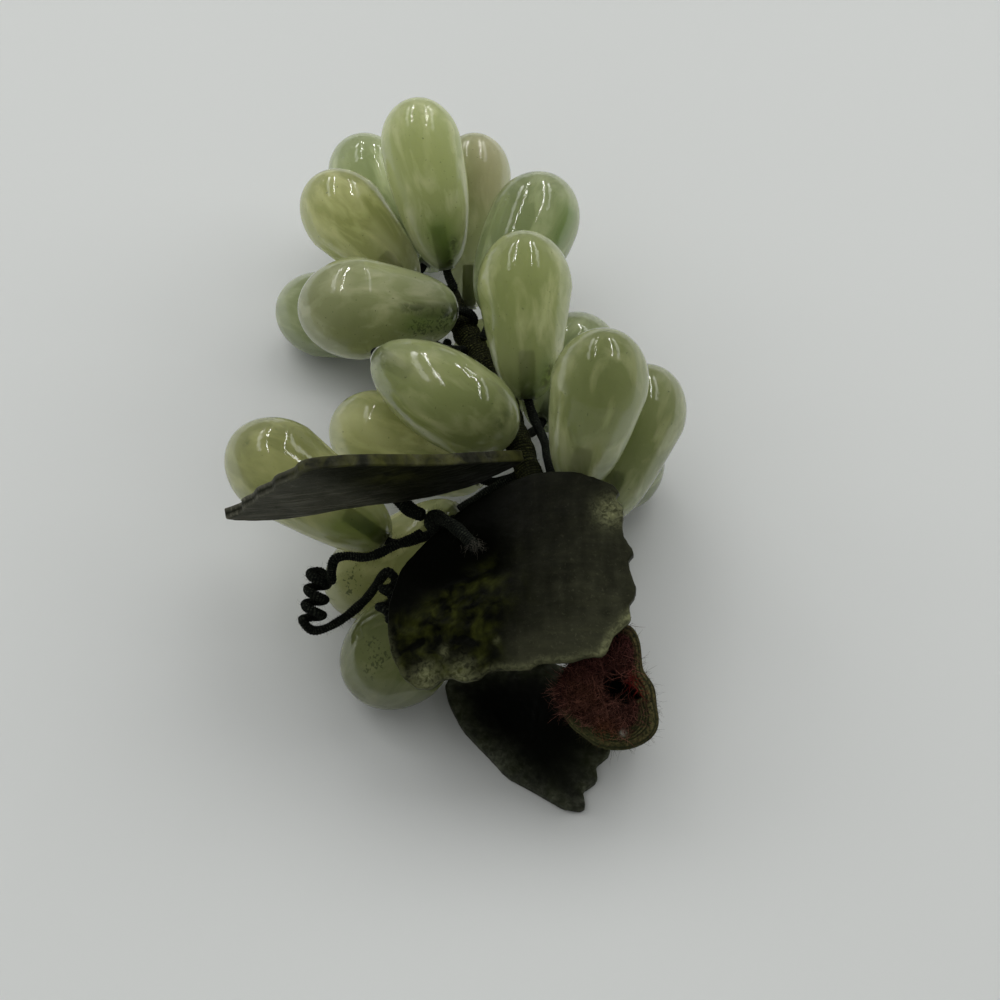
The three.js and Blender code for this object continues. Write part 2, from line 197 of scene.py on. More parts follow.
def add_mesh(name, verts, quads, tris, nodes, finish, values):
    """A smooth object from arrays of points, of four-sided and three-sided faces, and of
    numbers or vectors for each point. It rides on the part and stands for its CAD nodes.
    Hairs and stones that would dip below the table are pressed flat on it."""
    verts = np.stack([verts[:, 0], verts[:, 1], np.maximum(verts[:, 2], 0)], 1)
    mesh = bpy.data.meshes.new(name)
    mesh.vertices.add(len(verts))
    mesh.vertices.foreach_set("co", np.float32(verts).ravel())
    mesh.loops.add(quads.size + tris.size)
    corners = np.concatenate([quads.ravel(), tris.ravel()]).astype(np.int32)
    mesh.loops.foreach_set("vertex_index", corners)
    starts = np.concatenate([np.arange(len(quads)) * 4, quads.size + np.arange(len(tris)) * 3])
    mesh.polygons.add(len(starts))
    mesh.polygons.foreach_set("loop_start", starts.astype(np.int32))
    mesh.update(calc_edges=True)
    mesh.validate()
    mesh.polygons.foreach_set("use_smooth", np.ones(len(mesh.polygons), bool))
    for key, value in values.items():
        vector = value.ndim == 2
        kind, part = ("FLOAT_VECTOR", "vector") if vector else ("FLOAT", "value")
        attribute = mesh.attributes.new(key, kind, "POINT")
        attribute.data.foreach_set(part, np.float32(value).ravel())
    mesh.materials.append(finish.material)
    thing = put(name, mesh)
    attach(thing, "root")
    if nodes:
        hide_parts(*nodes)


def add_surface(name, points, nodes, finish, values, hairs=None):
    """A mesh from a grid of points: the columns run round the piece and close on
    themselves, the rows run along it, and each end row closes on one point in its
    middle. hairs is a second mesh, of loose fibres, that is joined to the first."""
    rows, cols = points.shape[:2]
    i = np.arange(rows - 1)[:, None] * cols
    j = np.arange(cols)[None]
    k = (j + 1) % cols
    quads = np.stack([i + j, i + k, i + cols + k, i + cols + j], -1).reshape(-1, 4)
    verts = np.concatenate([points.reshape(-1, 3), points[[0, -1]].mean(1)])
    first, last = len(verts) - 2, (rows - 1) * cols
    tris = np.concatenate([
        np.stack([j[0], np.full(cols, first), k[0]], -1),
        np.stack([last + k[0], np.full(cols, first + 1), last + j[0]], -1)])
    carried = {}
    for key, value in values.items():
        value = np.broadcast_to(value, (rows, cols, 3) if np.ndim(value) == 3 else (rows, cols))
        carried[key] = np.concatenate([value.reshape(rows * cols, *value.shape[2:]), value[[0, -1], 0]])
    if hairs:
        more, more_tris, more_values = hairs
        tris = np.concatenate([tris, more_tris + len(verts)])
        verts = np.concatenate([verts, more])
        carried = {key: np.concatenate([value, more_values[key]]) for key, value in carried.items()}
    add_mesh(name, verts, quads, tris, nodes, finish, carried)


def evenly(path, count):
    """The same path with count points spaced evenly by length."""
    steps = np.linalg.norm(np.diff(path, axis=0), axis=1)
    path = path[np.concatenate([[True], steps > 1e-9])]
    length = np.concatenate([[0], np.cumsum(steps[steps > 1e-9])])
    where = np.linspace(0, length[-1], count)
    return np.stack([np.interp(where, length, path[:, axis]) for axis in range(3)], 1)


def through(places, count):
    """Points along a centripetal Catmull-Rom curve through the places: between two
    places it is the cubic whose knots are the square roots of the distances between
    neighbours."""
    p = np.array(places, float)
    p = np.concatenate([2 * p[:1] - p[1:2], p, 2 * p[-1:] - p[-2:-1]])
    knots = np.concatenate([[0], np.cumsum(np.linalg.norm(np.diff(p, axis=0), axis=1) ** 0.5)])
    fine = []
    for i in range(1, len(p) - 2):
        t0, t1, t2, t3 = knots[i - 1:i + 3]
        t = np.linspace(t1, t2, 60)[:, None]
        a1 = (t1 - t) / (t1 - t0) * p[i - 1] + (t - t0) / (t1 - t0) * p[i]
        a2 = (t2 - t) / (t2 - t1) * p[i] + (t - t1) / (t2 - t1) * p[i + 1]
        a3 = (t3 - t) / (t3 - t2) * p[i + 1] + (t - t2) / (t3 - t2) * p[i + 2]
        b1 = (t2 - t) / (t2 - t0) * a1 + (t - t0) / (t2 - t0) * a2
        b2 = (t3 - t) / (t3 - t1) * a2 + (t - t1) / (t3 - t1) * a3
        fine.append((t2 - t) / (t2 - t1) * b1 + (t - t1) / (t2 - t1) * b2)
    return evenly(np.concatenate(fine), count)


def round_turn(count):
    """Angles spaced evenly once round, as one row."""
    return np.linspace(0, 2 * np.pi, count, endpoint=False)[None]


def moving_frame(path):
    """Tangents of a path and two directions square to them, turned as little as possible."""
    tangent = np.gradient(path, axis=0)
    tangent /= np.linalg.norm(tangent, axis=1)[:, None]
    side = np.cross(tangent[0], [0.3, 0.2, 0.93])
    sides = []
    for t in tangent:
        side = unit(side - side @ t * t)
        sides.append(side)
    sides = np.array(sides)
    return tangent, sides, np.cross(tangent, sides)


def fibres(roots, out, length, thick, rng, curl=0.6):
    """Loose hairs: each starts at a root, leaves along its out direction, and bends by
    curl times a random vector and the square of the way along it, with a smaller wave
    on top. The section is a triangle that tapers to the tip. Returns the points, the
    triangles, and the number of points in one hair."""
    n, steps = len(roots), 4
    t = np.linspace(0, 1, steps + 1)[None, :, None]
    bend = rng.normal(size=(n, 1, 3))
    wave = rng.normal(size=(n, 1, 3)) * np.sin(t * 6 + rng.uniform(0, 6, (n, 1, 1)))
    length = np.broadcast_to(length, (n,))[:, None, None]
    line = roots[:, None] + length * (out[:, None] * t + curl * bend * t ** 2 + 0.25 * curl * wave * t)
    along = np.gradient(line, axis=1)
    along /= np.linalg.norm(along, axis=2, keepdims=True) + 1e-12
    side = np.cross(along, rng.normal(size=(n, 1, 3)))
    side /= np.linalg.norm(side, axis=2, keepdims=True) + 1e-12
    other = np.cross(along, side)
    angle = np.arange(3)[:, None] * 2 * np.pi / 3
    width = thick * (1 - 0.75 * t)[:, :, None]
    ring = line[:, :, None] + width * (np.cos(angle) * side[:, :, None] + np.sin(angle) * other[:, :, None])
    base = (np.arange(n) * (steps + 1) * 3)[:, None, None]
    row = (np.arange(steps) * 3)[None, :, None]
    j = np.arange(3)[None, None]
    k = (j + 1) % 3
    a, b, c, d = base + row + j, base + row + k, base + row + 3 + k, base + row + 3 + j
    foot = base[:, 0]
    tip = foot + steps * 3
    tris = np.concatenate([
        np.stack([a, b, c], -1).reshape(-1, 3), np.stack([a, c, d], -1).reshape(-1, 3),
        np.concatenate([tip, tip + 1, tip + 2], 1), np.concatenate([foot, foot + 2, foot + 1], 1)])
    return ring.reshape(-1, 3), tris, (steps + 1) * 3


def thread_hairs(roots, out, length, rng, curl=0.6):
    """Loose hairs of thread, with the numbers that the thread's finish reads."""
    hair, tris, _ = fibres(roots, out, length, 0.026 * mm, rng, curl)
    return hair, tris, {"crest": np.full(len(hair), 0.5), "loose": np.ones(len(hair)), "ply": hair}


def wound_wire(name, path, radius, nodes, finish, seed, thread, cols, fuzz):
    """A wire wound with thread: a round tube along the path, whose radius swells by a
    cosine of the distance along minus the turn round, so that the crests make a helix
    one thread apart. Slow waves in the phase and the radius keep it from being even,
    and both ends round off. There are five rows of points to a turn of thread, cols
    points in each, and fuzz loose hairs to a centimetre."""
    rng = np.random.default_rng(seed)
    length = np.linalg.norm(np.diff(path, axis=0), axis=1).sum()
    rows = max(12, int(length / (thread / 5)))
    path = evenly(path, rows)
    tangent, side, other = moving_frame(path)
    s = np.linspace(0, length, rows)[:, None]
    angle = round_turn(cols)
    drift = 0.9 * np.sin(s * 900 + seed) + 0.7 * np.sin(s * 2310 + 2 * seed + angle)
    phase = 2 * np.pi * s / thread - angle + drift
    lumps = 0.05 * np.sin(s * 610 + seed) + 0.05 * np.sin(s * 1500 + 2 * angle + seed)
    r = radius * (0.94 + lumps) + 0.15 * thread * np.cos(phase)
    ends = np.minimum(np.minimum(s, length - s) / (radius * 0.7), 1)
    r = r * np.sqrt(np.clip(1 - (1 - ends) ** 2, 0.02, 1))
    out = np.cos(angle)[..., None] * side[:, None] + np.sin(angle)[..., None] * other[:, None]
    points = path[:, None] + r[..., None] * out
    count = max(6, int(fuzz * length * 100))
    i = rng.integers(2, rows - 2, count)
    j = rng.integers(0, cols, count)
    lean = out[i, j] + 1.2 * rng.normal(size=(count, 1)) * tangent[i]
    lean /= np.linalg.norm(lean, axis=1)[:, None]
    hairs = thread_hairs(points[i, j], lean, rng.uniform(0.15, 0.6, count) * mm, rng, curl=0.9)
    ply = np.stack(np.broadcast_arrays(s * 0.4, radius * angle + s * 0.5, 0 * s), -1)
    values = {"crest": 0.5 + 0.5 * np.cos(phase), "loose": 0 * phase, "ply": ply}
    add_surface(name, points, nodes, finish, values, hairs)


def thread_finish(name, dark, light, hair):
    """Matt thread: nearly black between the turns as painted shade, and lighter on their
    crests as painted light, in short slanting dashes where a strand of the ply comes to
    the top, and paler loose hairs."""
    finish = Finish(name, dark, 0.9, Specular_IOR_Level=0.1)
    strand = finish.ramp(finish.noise(0.22 * mm, 3, 0.4, finish.read("ply", "Vector")), 0.46, 0.68)
    worn = finish.ramp(finish.noise(2.2 * mm, 3), 0.35, 0.65, 0.35, 1.0)
    # Painted light on the crests of the turns, broken into strands and worn patches.
    painted_light_on_crests = finish.both(finish.both(strand, worn), finish.ramp(finish.read("crest"), 0.1, 0.8))
    finish.use("Base Color", finish.over(finish.over(dark, painted_light_on_crests, light), finish.read("loose"), hair))
    return finish


brown_thread = thread_finish("brown_thread", (0.005, 0.006, 0.002), (0.105, 0.11, 0.035),
                             (0.04, 0.04, 0.016))
stem_path = through(to_frame([
    (17.6, -28.6, 22.9), (14.5, -22, 24.3), (9, -9, 25.4), (4.5, 3.7, 25.6), (2.6, 11, 25),
    (-0.5, 22.7, 23.4), (-5.5, 35.3, 21), (-8.6, 44, 18.8), (-10.6, 51.2, 16.8)]), 1200)
wound_wire("stem_wound_in_brown", stem_path, 2.5 * mm, ["main_stem"], brown_thread,
           seed=3, thread=0.6 * mm, cols=26, fuzz=220)

# Side branch: thinner wire in dark green thread. It is tied to the stem and runs under
# the edge of the top leaf to the knot that the leaves and the tendril hang from.

green_thread = thread_finish("dark_green_thread", (0.003, 0.004, 0.003), (0.06, 0.068, 0.046),
                             (0.014, 0.017, 0.012))
branch_path = through(to_frame([
    (4.4, -5.6, 25.6), (0, -8.6, 26.8), (-4.6, -9.6, 27.4), (-8.8, -10.4, 28.4)]), 300)
wound_wire("branch_wound_in_green", branch_path, 1.5 * mm, ["side_branch"], green_thread,
           seed=5, thread=0.5 * mm, cols=20, fuzz=90)

# Grapes: one polished drop of cloudy green stone each, ground by hand, so that no two
# are quite round, with a blind hole drilled in the narrow end for the stalk.


def grape_place(node):
    """Narrow end, axis, length and radius of a CAD grape: its points' longest principal
    direction is the axis, and its widest place is nearer the far end."""
    corners = [vertex.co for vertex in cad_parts[node].data.vertices]
    points = np.unique(np.round(np.array(corners), 6), axis=0)
    centre = points.mean(0)
    axis = np.linalg.svd(points - centre, full_matrices=False)[2][0]
    s = (points - centre) @ axis
    out = np.linalg.norm(points - centre - s[:, None] * axis, axis=1)
    widest = s[out.argmax()]
    if widest - s.min() < s.max() - widest:
        axis, s = -axis, -s
    return centre + s.min() * axis, axis, s.max() - s.min(), out.max()


def grape_surface(start, axis, long, radius, waist, seed):
    """The drop: a half ellipse 1.2 radii long at the fat end, and at the narrow end
    (1 - x squared) to the power 0.45, leaner by waist times x (1 - x), with x from 0 at
    the widest place to 1 at the tip. The last rows go round the mouth of the hole and
    down it. Slow waves of up to 2.7% make it hand-ground. Returns the points, their
    share of the way along the stone, and its grain, which is each point's place across
    the axis and 0.36 of its place along it."""
    rng = np.random.default_rng(seed)
    fat = 1.2 * radius
    bore = 1.15 * mm
    turn = np.linspace(0, np.pi / 2, 40)[1:]
    x = np.sin(np.linspace(0, np.pi / 2, 38)[1:])
    lean = np.clip(1 - x ** 2, 0, 1) ** 0.45 * (1 - waist * x * (1 - x)) * radius
    keep = lean > bore * 1.25
    hole_depths = np.array([0.12, 0, 0.15, 1.2, 4, 8.9]) * mm
    hole_radii = bore * np.array([1.5, 1.22, 1, 0.96, 0.96, 0.96])
    s = np.concatenate([long - fat * (1 - np.cos(turn)), ((long - fat) * (1 - x))[keep], hole_depths])
    r = np.concatenate([radius * np.sin(turn), lean[keep], hole_radii])
    angle = round_turn(64)
    side = unit(np.cross(axis, [0.2, 0.1, 0.97]))
    other = np.cross(axis, side)
    shift = rng.uniform(0, 2 * np.pi, 6)
    w = s[:, None] / long
    wave = (0.01 * np.cos(2 * angle + shift[0] + 1.5 * w)
            + 0.007 * np.cos(3 * angle + shift[1] - 3 * w)
            + 0.006 * np.sin(5 * w + shift[2] + angle)
            + 0.004 * np.cos(5 * angle + shift[3] + 6 * w))
    body = np.clip((r[:, None] - bore * 1.3) / (2 * mm), 0, 1)
    r = r[:, None] * (0.988 + wave * body)
    points = start + s[:, None, None] * axis + r[..., None] * (
        np.cos(angle)[..., None] * side + np.sin(angle)[..., None] * other)
    grain = np.stack([r * np.cos(angle), r * np.sin(angle), 0.36 * s[:, None] + 0 * r], -1)
    return points, np.broadcast_to(w, r.shape), grain + rng.uniform(-1, 1, 3)


def mark(points, start, end, size):
    """A soft mark along a line: 1 on it, falling as a bell curve of the given size."""
    start = to_frame(start)
    way = to_frame(end) - start
    t = np.clip((points - start) @ way / max(way @ way, 1e-12), 0, 1)
    return np.exp(-((points - start - t[..., None] * way) ** 2).sum(-1) / (size * mm) ** 2)


def times(colour, factor):
    """A colour made lighter or darker by a factor."""
    return tuple(factor * c for c in colour)


def grape_finish(name, body, deep, cloud):
    """Cloudy green stone with a soft polish. Light goes deep into it, and a small part
    of it passes straight through. Slow noises drawn out along the stone mix its two
    greens and the milky veils. Both ends are darker: the fat one by painted shade, the
    narrow one a deeper green. Marks bring up stains and speckles, and on some grapes
    painted shade; a few dark specks lie all over."""
    finish = Finish(name, body, 0.04, Subsurface_Weight=0.85, Subsurface_Scale=80 * mm,
                    Subsurface_Radius=(1, 1, 0.85), Transmission_Weight=0.08, IOR=1.32)
    grain = finish.read("grain", "Vector")
    tip = tuple(v * k for v, k in zip(deep, (0.55, 0.75, 0.35)))
    stain = (0.03, 0.04, 0.016)
    colour = finish.over(body, finish.ramp(finish.noise(11 * mm, 3, 0.6, grain), 0.36, 0.66), deep)
    veils = finish.ramp(finish.noise(4.2 * mm, 4, 0.5, grain), 0.48, 0.66)
    colour = finish.over(colour, veils, times(cloud, 1.2))
    # Painted shade: the fat half darkens towards its end, to tone down the light it takes from the lamps
    # behind the bunch.
    colour = finish.layer(colour, "along", times(body, 0.4), 0.6, low=0.5)
    colour = finish.layer(colour, "along", tip, 0.45, low=0.2, high=0)
    # Deeper green from the green marks; on grapes 1 and 7 these marks are painted shade.
    colour = finish.layer(colour, "green", tip, 0.85)
    colour = finish.layer(colour, "milky", cloud, 0.8)
    colour = finish.layer(colour, "rusty", (0.27, 0.235, 0.13), 0.6)
    # Stains from the stain marks; on grapes 1 and 7 these marks are painted shade.
    broken = finish.ramp(finish.noise(1.3 * mm, 4, 0.8), 0.35, 0.55)
    stained = finish.ramp(finish.read("stain"), 0, 1, 0, 0.85)
    colour = finish.over(colour, finish.both(stained, broken), stain)
    speckled = finish.ramp(finish.read("specks"), 0, 1, 0, 0.2)
    dots = finish.both(finish.noise(0.55 * mm, 3, 0.4), speckled, "ADD")
    colour = finish.over(colour, finish.ramp(dots, 0.69, 0.75, 0, 0.75), stain)
    finish.use("Base Color", colour)
    finish.dent(finish.noise(1.7 * mm, 3, 0.5), 0.05 * mm)
    return finish


# Greens of the body, the deeper parts and the veils, each taken times a grape's factor.
# The factors are partly each grape's own tone and partly painted shade: they make each
# grape as light or dark as it looks where it lies, shade included.
GREENS = {
    "plain": ((0.265, 0.305, 0.112), (0.19, 0.23, 0.074), (0.34, 0.37, 0.165)),
    "yellow": ((0.3, 0.32, 0.112), (0.215, 0.235, 0.07), (0.385, 0.395, 0.155)),
    "grey": ((0.25, 0.275, 0.13), (0.18, 0.205, 0.085), (0.33, 0.345, 0.195)),
    "cool": ((0.24, 0.29, 0.13), (0.16, 0.205, 0.08), (0.315, 0.365, 0.18)),
}
KINDS = [
    ("plain", 1.3), ("cool", 1), ("yellow", 1.2), ("plain", 0.8), ("cool", 0.8), ("plain", 0.9),
    ("grey", 0.9), ("cool", 0.8), ("plain", 0.82), ("yellow", 1), ("yellow", 0.65), ("plain", 0.62),
    ("plain", 0.5), ("cool", 0.7), ("cool", 0.5), ("yellow", 0.8), ("plain", 0.42), ("cool", 0.8),
    ("plain", 0.8)]
USUAL_WAIST = 0.4
WAISTS = {1: 0, 5: 0, 9: -0.3, 12: 0.3}
MARKS = {
    # Painted shade: grape 1's green and stain lines are partly a deeper green in the stone and partly shade
    # where grape 4 meets it.
    1: [("green", (-11.4, 53.6, 31.2), (-9, 51.8, 24.9), 3),
        ("stain", (-8.8, 53.3, 29), (-9.5, 51.8, 25), 1)],
    3: [("milky", (-23.9, 56.8, 29.8), (-20.1, 53.8, 26), 1.2),
        ("milky", (-26.7, 62.3, 33.5), (-28, 61, 33), 1.5)],
    4: [("rusty", (-2, 75, 31.4), (-2.5, 70, 27.5), 6)],
    5: [("green", (13.2, 55.6, 33.8), (11.3, 50.6, 32.3), 2.5),
        ("milky", (8.4, 51.1, 35.1), (7, 51, 35), 0.8)],
    6: [("stain", (8, 16.7, 31.7), (8.9, 18.6, 34), 1.1),
        ("green", (6.6, 15.8, 30), (8.9, 18.3, 33.5), 2.4)],
    # Painted shade: grape 7's stain and green lines draw the dark line of its drilled hole and stalk, seen
    # through the stone.
    7: [("stain", (-17.3, 33, 33.5), (-8.9, 36, 28.5), 0.75),
        ("green", (-15.5, 31.6, 30.4), (-9.3, 34.9, 27.3), 2.6),
        ("specks", (-15.5, 31.2, 29.6), (-10, 34, 27.8), 2.5),
        ("milky", (-29.8, 35.9, 37.8), (-28, 35.5, 37.4), 1.8)],
    9: [("milky", (-12, 12.2, 40.4), (-14, 13.6, 40.4), 2.6),
        ("stain", (-0.3, 5.1, 36.1), (0.4, 6.4, 36.4), 1.1)],
    10: [("milky", (-26.7, 15.6, 24.3), (-21.5, 10.4, 23.8), 2.2)],
    11: [("stain", (-43.7, 2.4, 33.7), (-43.6, 2.6, 33.8), 0.5),
         ("green", (-22.3, -10.4, 26.3), (-28, -10, 27), 3),
         ("milky", (-34, -6.6, 30), (-30, -8.5, 29), 1.8)],
    12: [("milky", (12.5, -4.8, 39.1), (16.5, -4.1, 43.7), 1.6)],
    16: [("specks", (-26.7, -14.5, 12.4), (-26.1, -12.4, 14.8), 1.5),
         ("milky", (-23.7, -11.9, 15.6), (-21, -12.1, 16), 1)],
    17: [("specks", (-22.7, -27.7, 17.9), (-21.5, -27.6, 18.3), 1.5),
         ("specks", (-22.2, -32, 15.5), (-19.9, -30.2, 18), 1.6)],
}
grapes = []
for number, (kind, light) in enumerate(KINDS, 1):
    start, axis, long, radius = grape_place(f"grape_{number}")
    grapes.append((start, axis))
    waist = WAISTS.get(number, USUAL_WAIST)
    points, along, grain = grape_surface(start, axis, long, radius, waist, number)
    values = {key: np.zeros(along.shape) for key in ("green", "milky", "rusty", "stain", "specks")}
    for key, *line in MARKS.get(number, []):
        values[key] = np.maximum(values[key], mark(points, *line))
    stone = grape_finish(f"grape_stone_{number}", *(times(green, light) for green in GREENS[kind]))
    add_surface(f"grape_drop_{number}", points, [f"grape_{number}"], stone,
                {"along": along, "grain": grain, **values})

# Grape stalks: fine wire in dark green thread. Each is glued in the hole in its grape,
# leaves it along the grape's axis and bends round to be tied to the stem or branch.

LONG_WAY = {
    2: [(-16.9, 59.5, 12.4), (-15, 54.5, 12.4), (-11.9, 52, 15)],
    6: [(6, 13.2, 26.8), (7.9, 7.4, 27.2), (8.8, 1.7, 27.1), (10.5, -3.4, 26.4)],
    8: [(-13.2, 41.8, 12.6), (-10.7, 38.8, 14.8), (-9.9, 38.9, 17)],
    18: [(-17.9, 62, 7), (-16, 55, 8.8), (-11.4, 50, 13.8)],
}
for number, (mouth, axis) in enumerate(grapes, 1):
    if number in LONG_WAY:
        rest = through([mouth, *to_frame(LONG_WAY[number])], 200)
    else:
        reach = mouth - axis * 5 * mm
        ways = [np.linalg.norm(path - reach, axis=1) for path in (stem_path, branch_path)]
        on_stem = ways[0].min() <= ways[1].min()
        foot = stem_path[ways[0].argmin()] if on_stem else branch_path[ways[1].argmin()]
        outward = unit(reach - foot)
        end = foot + outward * (2.3 if on_stem else 1.2) * mm
        t = np.linspace(0, 1, 200)[:, None]
        near, far = mouth - axis * 2.5 * mm, end + outward * 1.25 * mm
        rest = ((1 - t) ** 3 * mouth + 3 * (1 - t) ** 2 * t * near
                + 3 * (1 - t) * t ** 2 * far + t ** 3 * end)
    glued = np.linspace(mouth + axis * 8.6 * mm, mouth, 50)[:-1]
    wound_wire(f"stalk_of_grape_{number}", evenly(np.concatenate([glued, rest]), 300), 0.85 * mm,
               [f"grape_stalk_{number}"], green_thread,
               seed=20 + number, thread=0.42 * mm, cols=14, fuzz=70)

# Knot: the thread that ties branch, leaf stalks and tendril together, wound over itself
# in several directions into a small hard ball.

knot_centre = to_frame((-10.8, -11.7, 30.8))
knot_rows, knot_cols, knot_hairs = 90, 110, 160
tilt = np.linspace(0.03, np.pi - 0.03, knot_rows)[:, None]
turn = round_turn(knot_cols)
ball = np.stack([np.sin(tilt) * np.cos(turn), np.sin(tilt) * np.sin(turn), np.cos(tilt) + 0 * turn], -1)
windings = [unit(v) for v in [(1, 0.3, 0.2), (-0.3, 1, 0.4), (0.5, -0.6, 1)]]
height = np.max([np.cos(2 * np.pi * (ball @ v) * 3.6 + k) * np.exp(-((ball @ v) / 0.55) ** 2)
                 for k, v in enumerate(windings)], axis=0)
knot_points = knot_centre + 2.1 * mm * ball * (0.95 + 0.055 * height)[..., None]
rng = np.random.default_rng(77)
pick = rng.integers(0, knot_rows, knot_hairs), rng.integers(0, knot_cols, knot_hairs)
hairs = thread_hairs(knot_points[pick], ball[pick], rng.uniform(0.3, 1.0, knot_hairs) * mm, rng)
add_surface("knot_of_thread", knot_points[::-1], ["thread_knot"], green_thread,
            {"crest": (0.5 + 0.5 * height)[::-1], "loose": 0 * height, "ply": knot_points[::-1]}, hairs)

# Leaves: sawn slices of nearly black green stone, ground thin, with teeth cut in their
# edges and a worn half-gloss polish, whose grey-green sheen is painted into their colour.
# The top leaf has an olive, lumpy lower left part, a chip at its upper right corner and a
# crust of pale stone at its lower right one.


def worn_outline(corners, count, seed):
    """A closed outline with its corners cut off once, a small share of the way along
    its sides, then spaced evenly and roughened by about a tenth of a millimetre."""
    cut = 0.14
    line = np.array(corners, float)
    after = np.roll(line, -1, axis=0)
    line = np.stack([(1 - cut) * line + cut * after, cut * line + (1 - cut) * after], 1).reshape(-1, 2)
    line = np.concatenate([line, line[:1]])
    length = np.concatenate([[0], np.cumsum(np.linalg.norm(np.diff(line, axis=0), axis=1))])
    where = np.linspace(0, length[-1], count, endpoint=False)
    rim = np.stack([np.interp(where, length, line[:, k]) for k in range(2)], 1)
    return rim * (1 + 0.005 * ripple(rim[:, 0], rim[:, 1], seed, 2.0, 3))[:, None]


def ridge(a, b, start, end, size):
    """A soft line: 1 from start to end, falling as a bell curve of the given size."""
    d = np.subtract(end, start)
    t = np.clip(((a - start[0]) * d[0] + (b - start[1]) * d[1]) / (d @ d), 0, 1)
    return np.exp(-(np.hypot(a - start[0] - t * d[0], b - start[1] - t * d[1]) / size) ** 2)


def ripple(a, b, seed, size, octaves=4):
    """Smooth random relief from -1 to 1: cosines in many directions, each octave half
    as wide and a little more than half as high."""
    rng = np.random.default_rng(seed)
    total, weight = 0.0, 0.0
    for octave in range(octaves):
        for _ in range(7):
            turn, shift = rng.uniform(0, 2 * np.pi, 2)
            k = 2 * np.pi * 2 ** octave * rng.uniform(0.7, 1.3) / size
            total = total + 0.55 ** octave * np.cos(k * (a * np.cos(turn) + b * np.sin(turn)) + shift)
        weight += 7 * 0.55 ** octave * 0.5
    return total / weight


def blob(a, b, place, size):
    """A soft round patch: 1 at its place, falling as a bell curve of the given size."""
    return np.exp(-((a - place[0]) ** 2 + (b - place[1]) ** 2) / size ** 2)


def step(x, soft):
    """0 below zero and 1 above it, with a smooth change over the soft width."""
    return 0.5 + 0.5 * np.tanh(2 * x / soft)


def leaf_surface(at, faces, along, outline, height, relief, seed, corner=0.4):
    """A plate 2 mm thick: two copies of the outline in rings that shrink to the middle.
    Both faces follow the height function and are slightly uneven, and the upper one has
    the relief on it. Near the rim both round off by a quarter circle of the corner's
    radius to an upright edge. Returns the points, their places a and b in the leaf's
    plane, their distance from the rim, and 1 for the upper face, 0 for the edge and -1
    for the lower face. All but the points are in millimetres."""
    count, rings = 320, 45
    up = unit(faces)
    first = unit(along - along @ up * up)
    second = np.cross(up, first)
    rim = worn_outline(outline, count, seed)
    t = (1 - np.linspace(1, 0, rings) ** 1.7)[1:, None]
    a, b = rim[None, :, 0] * t, rim[None, :, 1] * t
    inward = np.hypot(rim[:, 0], rim[:, 1])[None] * (1 - t)
    fall = corner - np.sqrt(np.clip(corner ** 2 - (corner - np.clip(inward, 0, corner)) ** 2, 0, None))
    inner = np.clip(inward / 1.2, 0, 1)
    rough = 0.1 * ripple(a, b, seed, 9.0) + 0.03 * ripple(a, b, seed + 1, 2.2) + relief(a, b)
    upper = height(a, b) + 1 - fall + rough * inner
    lower = height(a, b) - 1 + fall + 0.12 * ripple(a, b, seed + 2, 8.0) * inner
    edge = height(a[-1], b[-1]) + 0.05 * ripple(a[-1], b[-1], seed + 3, 1.5)
    a, b, inward = (np.concatenate([v, v[-1:], v[::-1]]) for v in (a, b, inward))
    h = np.concatenate([upper, edge[None], lower[::-1]])
    points = to_frame(at) + mm * (a[..., None] * first + b[..., None] * second + h[..., None] * up)
    face = np.repeat([1.0, 0.0, -1.0], [rings - 1, 1, rings - 1])[:, None] * np.ones(count)
    return points[::-1], a[::-1], b[::-1], inward[::-1], face[::-1]


def leaf_finish(name, dark, haze_and_painted_sheen, olive, pale, roughness, stretch):
    """Nearly black green stone. The first attribute lays on a grey-green haze, partly the
    worn polish and partly painted sheen, the light overhead reflected in it, with brighter
    painted glints in freckles; olive brings up the mottled patches, pale the bruised and
    broken stone, and scored the scratches, which are a noise drawn out one way. stretch
    holds that noise's scales along the three axes and its turn about the upright one."""
    finish = Finish(name, dark, roughness, IOR=1.5, Specular_IOR_Level=0.03)
    where = finish.add("TexCoord").outputs["Object"]
    way = finish.add("Mapping", [("Vector", where)], Scale=stretch[:3], Rotation=(0, 0, stretch[3]))
    scratches = finish.ramp(finish.noise(3 * mm, 6, 0.3, way.outputs["Vector"]), 0.48, 0.66)
    haze = finish.ramp(finish.noise(2.6 * mm, 6, 0.5), 0.25, 0.7, 0.55, 1.0)
    mottle = finish.ramp(finish.noise(3.4 * mm, 7, 0.5), 0.42, 0.66)
    grit = finish.ramp(finish.noise(0.8 * mm, 5, 0.8), 0.35, 0.62, 0.25)
    freckle = finish.ramp(finish.noise(0.5 * mm, 4, 0.5), 0.58, 0.74, 0, 0.35)
    colour = dark
    for key, pattern, above in (
            ("haze_and_painted_sheen", haze, haze_and_painted_sheen), ("haze_and_painted_sheen", freckle, times(haze_and_painted_sheen, 2.4)), ("olive", mottle, olive),
            ("scored", scratches, times(pale, 0.45)), ("pale", grit, pale)):
        colour = finish.over(colour, finish.both(finish.read(key), pattern), above)
    finish.use("Base Color", colour)
    wear = finish.ramp(finish.noise(3 * mm, 4), 0.2, 0.8, roughness - 0.12, roughness + 0.14)
    finish.use("Roughness", wear)
    scored = finish.both(scratches, finish.read("scored"))
    finish.dent(finish.both(grit, scored, "ADD"), 0.05 * mm, 0.6)
    return finish


